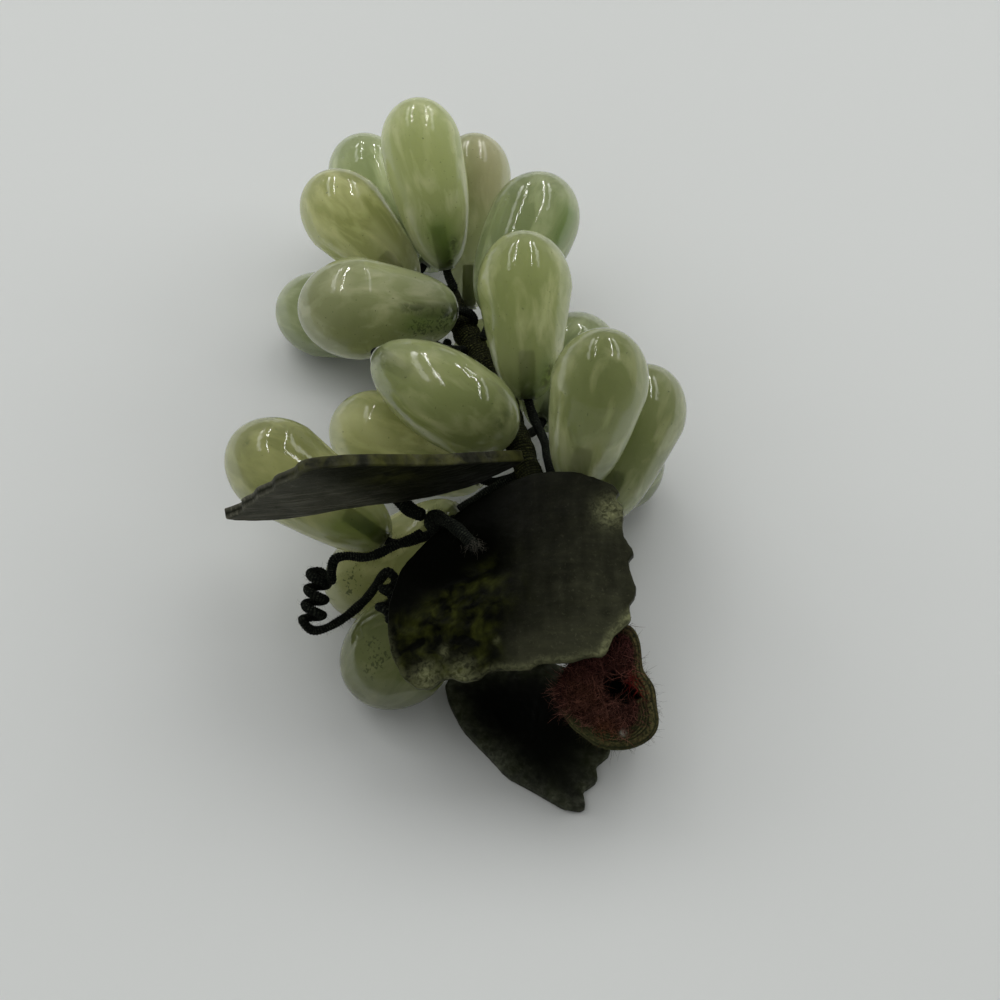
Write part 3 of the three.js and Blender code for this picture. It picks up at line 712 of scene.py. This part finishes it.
TOP_OUTLINE = [
    (-9.1, 11.1), (-3.4, 14.1), (-0.5, 15.3), (2.7, 16.3), (6.4, 16.6), (10.6, 16.2), (13.5, 15),
    (16.4, 13.6), (17.4, 12.3), (16.6, 11.2), (17.9, 9.5), (17.4, 5), (19.2, 1.5), (18, -0.2),
    (19.2, -5), (17.7, -7.4), (17.9, -9.7), (14.9, -12), (13.2, -15.3), (10.3, -15.3), (7.8, -16),
    (2.6, -15.8), (0.9, -16.8), (-5.7, -16.4), (-7.5, -17.7), (-10, -18), (-12, -17.1),
    (-13.7, -17.3), (-15.6, -18.6), (-18.2, -18.2), (-20.3, -16.2), (-22, -12.5), (-22.5, -8.1),
    (-22, -3.6), (-19.9, 1.7), (-17.4, 4.2), (-13.8, 7.3)]
HOLLOW = (-5.5, 1.5), (-14, -2)
CHIP = (15.9, 8.8)
RIB = (-5.4, 0), (-5.6, -9)
CRUST = (17.6, -9.4), (12.9, -15)
BRUISES = ((0.9, (-16.2, -16.6), 2.2), (0.65, (-10.2, -16.4), 2.2), (0.6, (-12.9, -12.8), 0.8),
           (0.35, (-4, -11.8), 0.6))


def top_height(a, b):
    """A low dome, lower by a bell curve of size 4 mm along the hollow by the stalk."""
    return -0.004 * ((a + 1) ** 2 + (b - 3) ** 2) - 1.8 * ridge(a, b, *HOLLOW, 4)


def lumpy(a, b):
    """The share of the lower left part, left of a faint rib and below the hollow."""
    return step(-4.5 - a, 7) * step(1.6 - b + 0.55 * (a + 5.7), 2)


def top_relief(a, b):
    """Lumps in the lower left part, crystals in the chip, and a faint rib."""
    crystals = np.abs(ripple(a, b, 77, 1.7, 3))
    return (0.28 * ripple(a, b, 71, 4.0, 3) * lumpy(a, b)
            - (0.5 - 0.9 * crystals) * blob(a, b, CHIP, 2.2) + 0.12 * ridge(a, b, *RIB, 0.5))


top_stone = leaf_finish("top_leaf_stone", (0.0014, 0.0018, 0.0007), (0.038, 0.039, 0.023),
                        (0.042, 0.048, 0.007), (0.2, 0.21, 0.105), 0.42, (0.5, 3, 3, 0.5))
points, a, b, inward, face = leaf_surface(
    (3, -22, 32.3), (-0.15, -0.28, 1), (1, 0, 0.15), TOP_OUTLINE, top_height, top_relief, 11)
left_part = lumpy(a, b)
# Painted sheen: the haze rises towards the right part and the lower edge, where the top face takes the
# light overhead, and the lumpy left part gets none.
streaks = 1 + 0.35 * ripple(a, 0.25 * b, 34, 2.5, 3)
haze_and_painted_sheen = np.clip((a + 4) / 16, 0, 1) * streaks + 0.8 * step(-11 - b, 4) * step(a + 3, 3)
haze_and_painted_sheen = haze_and_painted_sheen * (1 - left_part) * np.clip(0.75 - 0.035 * b, 0.4, 1.4)
patches = np.clip(0.6 + 0.8 * ripple(a, b, 33, 3.2, 4), 0, 1)
olive = np.clip(left_part + 0.25 * blob(a, b, (-3, -4), 4), 0, 1) * patches
low_rim = np.exp(-(inward / 0.9) ** 2) * step(-9 - b, 4)
pale = 1.2 * blob(a, b, CHIP, 2.4) + 0.9 * ridge(a, b, *CRUST, 1.0) + low_rim * (0.55 - 0.2 * left_part)
for strength, place, size in BRUISES:
    pale += strength * blob(a, b, place, size)
pale = np.clip(pale, 0, 1)
top_face = face >= 0
add_surface("leaf_over_the_stem", points, ["leaf_top"], top_stone, {
    "haze_and_painted_sheen": np.where(top_face, haze_and_painted_sheen, 0.5), "olive": olive * top_face,
    "pale": pale * top_face, "scored": 0.1 * haze_and_painted_sheen * top_face})

# The upright leaf stands on edge behind the knot. Its upper edge is toothed and shows
# its thickness, and its face is scratched grey at the left and dark at the right.

UPRIGHT_OUTLINE = [
    (-26.4, -8.7), (-25.4, -8), (-23.1, -5.7), (-22.8, -3.6), (-20.6, -1.2), (-19.8, 1.5),
    (-17, 4.1), (-16.2, 6.8), (-13, 9.4), (-11.8, 12), (-10.4, 12.9), (-8.1, 13), (-4.5, 12.4),
    (0.2, 10.6), (4.9, 7.8), (10.6, 4.2), (14.8, 1.9), (20.3, -1.7), (23.7, -4.2), (24.9, -5.4),
    (24.2, -6.4), (20.5, -8.1), (16.1, -10.4), (10, -10.9), (4, -10.2), (-2, -9), (-7.1, -8.8),
    (-12.3, -9.9), (-18.3, -10.6), (-22.1, -10.2), (-24.7, -9.6)]


def upright_height(a, b):
    """A bow along the leaf: its ends are bent back by 0.003 times their place squared."""
    return -0.003 * a ** 2


def upright_relief(a, b):
    """Shallow streaks drawn out along the leaf."""
    return 0.06 * ripple(0.3 * a, b, 35, 2.0, 3)


upright_stone = leaf_finish("upright_leaf_stone", (0.007, 0.008, 0.0035), (0.08, 0.08, 0.06),
                            (0.085, 0.088, 0.022), (0.34, 0.33, 0.25), 0.5, (0.3, 3, 5, 0.18))
points, a, b, inward, face = leaf_surface(
    (-20, -10.4, 41), (0.19, -0.945, -0.265), (1, 0.19, 0.04), UPRIGHT_OUTLINE,
    upright_height, upright_relief, 31, corner=0.3)
upper_edge = (inward < 0.5) * step(b + 6, 2)
right_edge = upper_edge * step(a + 14, 3)
grey = step(-4 - a - 0.6 * b, 7)
on_a_face = face != 0
add_surface("leaf_on_edge", points, ["leaf_upright"], upright_stone, {
    "haze_and_painted_sheen": np.clip(1.05 * grey + 0.03, 0, 1.1) * on_a_face + 0.1 * upper_edge,
    "olive": np.clip(0.7 * right_edge + 0.35 * blob(a, b, (2, 3), 5), 0, 1),
    "pale": 0.11 * right_edge * np.clip(0.4 + ripple(a, b, 37, 5), 0, 1),
    "scored": np.clip(0.85 * grey * step(3 - b, 4) + 0.05, 0, 1) * on_a_face})

# The low leaf lies flat on the table, glued to the foot of the cane. Its middle is
# nearly black, and the thin margin is mottled grey-green.

LOW_OUTLINE = [
    (-15.9, 9.2), (-11, 13.5), (-5, 13), (1, 14.5), (5, 12.5), (10, 11), (13, 7), (14.5, 2.5),
    (12.8, -1), (13.2, -4.5), (10.6, -6.8), (10.8, -9.6), (8.2, -11.6), (8.6, -14.6), (7.6, -15.1),
    (4.7, -14.6), (0, -11.6), (-4.8, -8.8), (-8.6, -4.3), (-12.5, 0.1), (-15, 5.2)]


def low_relief(a, b):
    """Fine unevenness, and a groove 0.25 mm deep near the lower left edge."""
    return 0.05 * ripple(a, b, 55, 1.6, 3) - 0.25 * ridge(a, b, (-7, 3), (-2, -7), 0.5)


low_stone = leaf_finish("low_leaf_stone", (0.003, 0.0035, 0.0025), (0.02, 0.022, 0.015),
                        (0.02, 0.024, 0.009), (0.16, 0.17, 0.12), 0.45, (0.4, 2.5, 2.5, 0.9))
points, a, b, inward, face = leaf_surface(
    (6, -36, 1), (0, 0, 1), (1, 0, 0), LOW_OUTLINE, lambda a, b: 0 * a, low_relief,
    51, corner=0.5)
margin = np.exp(-(inward / 3.6) ** 2)
worn_rim = 0.16 * np.exp(-(inward / 1.2) ** 2)
pale = worn_rim + margin * (0.12 + 0.25 * ripple(a, b, 58, 2.2)) + 0.25 * blob(a, b, (-6, -6), 2.2)
add_surface("leaf_on_the_table", points, ["leaf_low"], low_stone, {
    "haze_and_painted_sheen": np.clip(0.8 * margin + 0.6 * blob(a, b, (8, -8), 6), 0, 1), "olive": margin,
    "pale": np.clip(pale, 0, 1), "scored": np.clip(0.25 * margin * (1 + ripple(a, b, 57, 3)), 0, 1)})

# Leaf stalks: short wires wound with the same thread, pressed against the leaves and
# glued. The thread has frayed where the top leaf's stalk ends.


def add_hairs(name, hair, tris, finish, values):
    """An object of loose fibres alone, which stands for no CAD node."""
    add_mesh(name, hair, np.zeros((0, 4), int), tris, [], finish, values)


LEAF_STALKS = [
    ("leaf_stalk_top", 1.05,
     [(-10.4, -12.6, 33.2), (-9, -14.4, 35.1), (-6.4, -17.2, 36), (-3.8, -20.4, 35.6)]),
    ("leaf_stalk_upright", 1.3,
     [(-12.8, -10, 30), (-15.2, -8.4, 29.4), (-18.2, -5.6, 30.6), (-19.4, -4.9, 34), (-19.6, -6.6, 38)]),
    ("leaf_stalk_low", 1.0,
     [(13, -22.6, 21.4), (11.4, -22.6, 16), (9.6, -22.4, 9), (8.6, -22.6, 2.4)]),
]
for seed, (node, radius, places) in enumerate(LEAF_STALKS, 60):
    wound_wire(f"wound_{node}", through(to_frame(places), 300), radius * mm, [node],
               green_thread, seed, thread=0.44 * mm, cols=18, fuzz=220)

frayed = to_frame((-4.3, -19.8, 36.4))
rng = np.random.default_rng(64)
count = 90
lean = np.array((0.4, -0.7, 0.1)) + 0.5 * rng.normal(size=(count, 3))
roots = frayed + 0.55 * mm * rng.normal(size=(count, 3))
long = rng.uniform(0.4, 1.1, count) * mm
hair, tris, _ = fibres(roots, lean, long, 0.04 * mm, rng, curl=0.7)
frayed_thread = Finish("frayed_grey_thread", (0.075, 0.07, 0.055), 0.9, Specular_IOR_Level=0.1)
add_hairs("frayed_end_of_the_top_stalk", hair, tris, frayed_thread, {})

# Tendril: a stiff wire wound with dark green thread. It leaves the knot, winds into a
# tight coil, comes back and winds into a second one by the top leaf's edge.


def coil(start, end, radius, turns, angle):
    """Points of a helix about the line from start to end, starting at the angle."""
    start, end = np.array(start, float), np.array(end, float)
    axis = end - start
    side = unit(np.cross([0, 1, 0], axis))
    other = np.cross(unit(axis), side)
    t = np.linspace(0, 1, int(turns * 8) + 1)[:, None]
    w = angle - 2 * np.pi * turns * t
    return start + axis * t + radius * (side * np.cos(w) + other * np.sin(w))


route = np.concatenate([
    [(-13, -13.2, 29.8), (-16.9, -14.2, 28), (-22.4, -15.7, 26), (-26.3, -14.9, 25), (-28.2, -15, 24.2),
     (-28.9, -16, 22), (-29, -16.8, 20.2)],
    coil((-31.1, -15, 20), (-32.5, -22.1, 15), 1.6, 3.25, np.pi / 2),
    [(-32.7, -23.2, 14.3), (-30.9, -23.2, 14.3), (-27.3, -21.5, 15), (-23.3, -19.1, 17.5)],
    coil((-18.6, -17.5, 23.2), (-19.6, -26, 22.6), 1.0, 2.5, 0)])
wound_wire("tendril_wire", through(to_frame(route), 2500), 0.82 * mm, ["tendril"],
           green_thread, seed=91, thread=0.45 * mm, cols=18, fuzz=130)

# Cane: a short thick stub wound with olive-brown thread, which laps over the right and
# lower edge of its cut end. The rest of the end is a mat of curly red-brown fibres with
# a slanting hole and a spot of dried glue in it.

CANE_FACE = to_frame((17.2, -41.4, 22.3))
CANE_LENGTH = 18.6
CANE_SHOULDER = 1.2
CANE_FOOT = 7.3
CANE_REACH = [13.4, 10.3, 8.9, 8.7, 8.8, 7.9, 7.2, 6.9, 7.3, 8, 8.8, 9.5, 9.1, 8.4, 8.2, 9.7]
HOLE = [(5.5, 0.2), (2.0, 1.5), (-0.2, -2.8), (2.4, -5.4)]
cane_axis = unit((-0.117, -0.472, 0.873))
lip = to_frame((21.4, -28, 24.5)) - CANE_FACE
lip = unit(lip - lip @ cane_axis * cane_axis)
across = np.cross(cane_axis, lip)


def cane_places(x, y, up):
    """Places from millimetres towards the lip, across it and up the cane's axis."""
    along = (up - CANE_LENGTH)[..., None] * cane_axis
    return CANE_FACE + mm * (x[..., None] * lip + y[..., None] * across + along)


def cane_reach(angle):
    """The cut end's radius: the sixteen reaches joined by the smoothest closed wave."""
    waves = np.fft.rfft(CANE_REACH) / len(CANE_REACH)
    waves[1:-1] *= 2
    return sum((wave * np.exp(1j * k * angle)).real for k, wave in enumerate(waves))


# The wall widens from the foot's radius to the cut end's reach, rounds off over the
# shoulder, and swells by a cosine at each turn of thread. The face is the wall's last
# row in shrinking rings, rough where it is bare, and sunk by 5.5 mm in the hole.

cane_cols = 180
angle = round_turn(cane_cols)
straight = CANE_LENGTH - CANE_SHOULDER
up = np.concatenate([[0.0], np.linspace(0.02, straight, 150), straight + CANE_SHOULDER * np.sin(
    np.linspace(0.2, np.pi / 2, 9))])[:, None]
spread = np.interp(up, [0, 0.6 * CANE_LENGTH, straight], [0, 0.4, 1])
over = np.clip(up - CANE_LENGTH + CANE_SHOULDER, 0, CANE_SHOULDER) / CANE_SHOULDER
trim = CANE_SHOULDER * (1 - np.sqrt(np.clip(1 - over ** 2, 0, 1)))
turns = 2 * np.pi * up / 0.55 - angle + 0.6 * np.sin(up * 2.1 + angle) + 0.5 * np.sin(3 * angle - up)
wall = (CANE_FOOT + spread * (cane_reach(angle) - CANE_FOOT) - trim - 0.2
        + 0.09 * np.cos(turns) + 0.06 * np.sin(up * 7 + 4 * angle))
wall[0] = 0.2
side_points = cane_places(wall * np.cos(angle), wall * np.sin(angle), up + 0 * wall)

share = np.linspace(1, 0.03, 74)[1:, None]
rim = wall[-1:]
x, y = rim * share * np.cos(angle), rim * share * np.sin(angle)
from_rim = rim * (1 - share)
lap = 3.0 * (0.5 - 0.5 * np.cos(angle - math.radians(65))) ** 0.8 - 0.7
lapped = step(lap - from_rim + 0.4 * ripple(x, y, 15, 1.5, 3), 0.5)
bare = step(up - CANE_LENGTH + 1.8, 0.8) * (1 - np.clip(lap / 0.6, 0, 1))
into_hole = np.full(x.shape, np.inf)
for (px, py), (qx, qy) in zip(HOLE, HOLE[1:] + HOLE[:1]):
    inside = ((qx - px) * (y - py) - (qy - py) * (x - px)) / np.hypot(qx - px, qy - py)
    into_hole = np.minimum(into_hole, inside)
into_hole += 0.15 * ripple(x, y, 16, 1.4, 3)
laps = 2 * np.pi * from_rim / 0.5 + 2.5 * np.sin(angle + 0.4) + 1.2 * ripple(x, y, 17, 3, 2)
sunk = 5.5 * step(into_hole, 0.4) - 0.5 * np.exp(-(np.clip(-into_hole, 0, None) / 0.8) ** 2)
high = (CANE_LENGTH - sunk + (1 - lapped) * (0.3 * ripple(x, y, 5, 2.8, 5) - 0.1)
        + lapped * 0.07 * np.cos(laps))
face_points = cane_places(x, y, high)

# Curly fibres grow on the cut face, seldom where thread laps it, and on the bare shoulder.

rng = np.random.default_rng(9)
face_tries, face_most, shoulder_tries, shoulder_rows = 9000, 3400, 2400, 24
ring, around = rng.integers(1, len(share), face_tries), rng.integers(0, cane_cols, face_tries)
keep = (rng.uniform(size=face_tries) < share[ring, 0]) & (into_hole[ring, around] < 0.1)
keep &= rng.uniform(size=face_tries) > 0.8 * lapped[ring, around]
ring, around = ring[keep][:face_most], around[keep][:face_most]
row = rng.integers(len(up) - shoulder_rows, len(up), shoulder_tries)
col = rng.integers(0, cane_cols, shoulder_tries)
keep = rng.uniform(size=shoulder_tries) < bare[row, col]
row, col = row[keep], col[keep]
outward = np.cos(angle).T * lip + np.sin(angle).T * across
lean = np.concatenate([rng.normal(size=(len(ring), 3)) * 0.9 + cane_axis * 0.3,
                       outward[col] - 0.3 * cane_axis + 0.5 * rng.normal(size=(len(row), 3))])
lean /= np.linalg.norm(lean, axis=1)[:, None]
long = np.concatenate([rng.uniform(0.6, 1.7, len(ring)), rng.uniform(0.5, 1.5, len(row))]) * mm
roots = np.concatenate([face_points[ring, around], side_points[row, col]])
curls, curl_tris, each = fibres(roots, lean, long, 0.05 * mm, rng)
at_x = np.concatenate([x[ring, around], (wall * np.cos(angle))[row, col]])
at_y = np.concatenate([y[ring, around], (wall * np.sin(angle))[row, col]])
scarlet = np.clip(blob(at_x, at_y, (4.9, -3.7), 1.5) + blob(at_x, at_y, (3.2, -4.9), 1.5), 0, 1)
orange = np.clip(blob(at_x, at_y, (-5, -1.2), 2.0) + 0.35 * blob(at_x, at_y, (0.5, 3.5), 3.0), 0, 1)
rosy = np.clip(blob(at_x, at_y, (10.5, -2), 2.5) + 0.7 * blob(at_x, at_y, (6, 4), 3), 0, 1)
clumps = np.clip(0.75 + 0.9 * ripple(at_x, at_y, 18, 3.5, 3), 0.15, 1.3)
clumps = clumps * (1 - 0.6 * step(np.hypot(at_x, at_y) - 8.5, 2))
shade = clumps * rng.uniform(0, 1, len(at_x)) ** 1.5

finish = Finish("curly_red_brown_fibre", (0.04, 0.015, 0.012), 0.9, Specular_IOR_Level=0.08)
colour = finish.over((0.014, 0.004, 0.003), finish.read("shade"), (0.34, 0.15, 0.11))
colour = finish.layer(colour, "orange", (0.2, 0.08, 0.03), 0.75)
colour = finish.layer(colour, "rosy", (0.22, 0.075, 0.07), 0.6)
colour = finish.layer(colour, "scarlet", (0.16, 0.014, 0.011), 0.9)
finish.use("Base Color", colour)
tints = {"shade": shade, "scarlet": scarlet, "orange": orange, "rosy": rosy}
add_hairs("fibres_on_the_cut_end", curls, curl_tris, finish,
          {key: np.repeat(value, each) for key, value in tints.items()})

# Stray ends of thread stand off the winding.

count = 900
row, col = rng.integers(30, 155, count), rng.integers(0, cane_cols, count)
lean = 0.6 * (outward[col] + 0.8 * rng.normal(size=(count, 3)))
long = rng.uniform(0.3, 1.2, count) * mm
strays, stray_tris, _ = fibres(side_points[row, col], lean, long, 0.028 * mm, rng, curl=0.5)
finish = Finish("cane_thread_and_cut", (0.02, 0.02, 0.01), 0.9, Specular_IOR_Level=0.08)
fleck = finish.ramp(finish.noise(0.45 * mm, 4, 0.5), 0.35, 0.65)
# Painted light and shade: the thread is lighter on the crests of its turns and laps and nearly black
# between them.
painted_light_on_turns = finish.both(finish.read("crest"), fleck)
thread = finish.over((0.006, 0.006, 0.003), painted_light_on_turns, (0.15, 0.12, 0.05))
thread = finish.layer(thread, "mossy", (0.04, 0.05, 0.018), 0.6)
cut = finish.over((0.006, 0.0022, 0.002), fleck, (0.055, 0.018, 0.013))
colour = finish.over(cut, finish.read("wound"), thread)
# Painted shade: the inside of the hole is nearly black.
colour = finish.over(colour, finish.read("hollow"), (0.002, 0.003, 0.002))
colour = finish.over(colour, finish.read("dried_glue"), (0.45, 0.43, 0.36))
finish.use("Base Color", colour)
points = np.concatenate([side_points, face_points])
nowhere = np.zeros(side_points.shape[:2])
mossy = 0.25 + 0.6 * (0.5 - 0.5 * np.cos(angle - math.radians(-20)))
on_strays = {"crest": 0.6, "wound": 1.0, "mossy": 0.3, "hollow": 0.0, "dried_glue": 0.0}
values = {
    "crest": np.concatenate([0.5 + 0.5 * np.cos(turns), 0.5 + 0.5 * np.cos(laps)]),
    "wound": np.concatenate([1 - bare, lapped]), "mossy": mossy + np.zeros(points.shape[:2]),
    "hollow": np.concatenate([nowhere, np.clip(into_hole / 0.3, 0, 1)]),
    "dried_glue": np.concatenate([nowhere, blob(x, y, (-4, -4.1), 0.45)])}
hairs = strays, stray_tris, {key: np.full(len(strays), value) for key, value in on_strays.items()}
add_surface("cane_wound_and_cut", points, ["cane_stub"], finish, values, hairs)
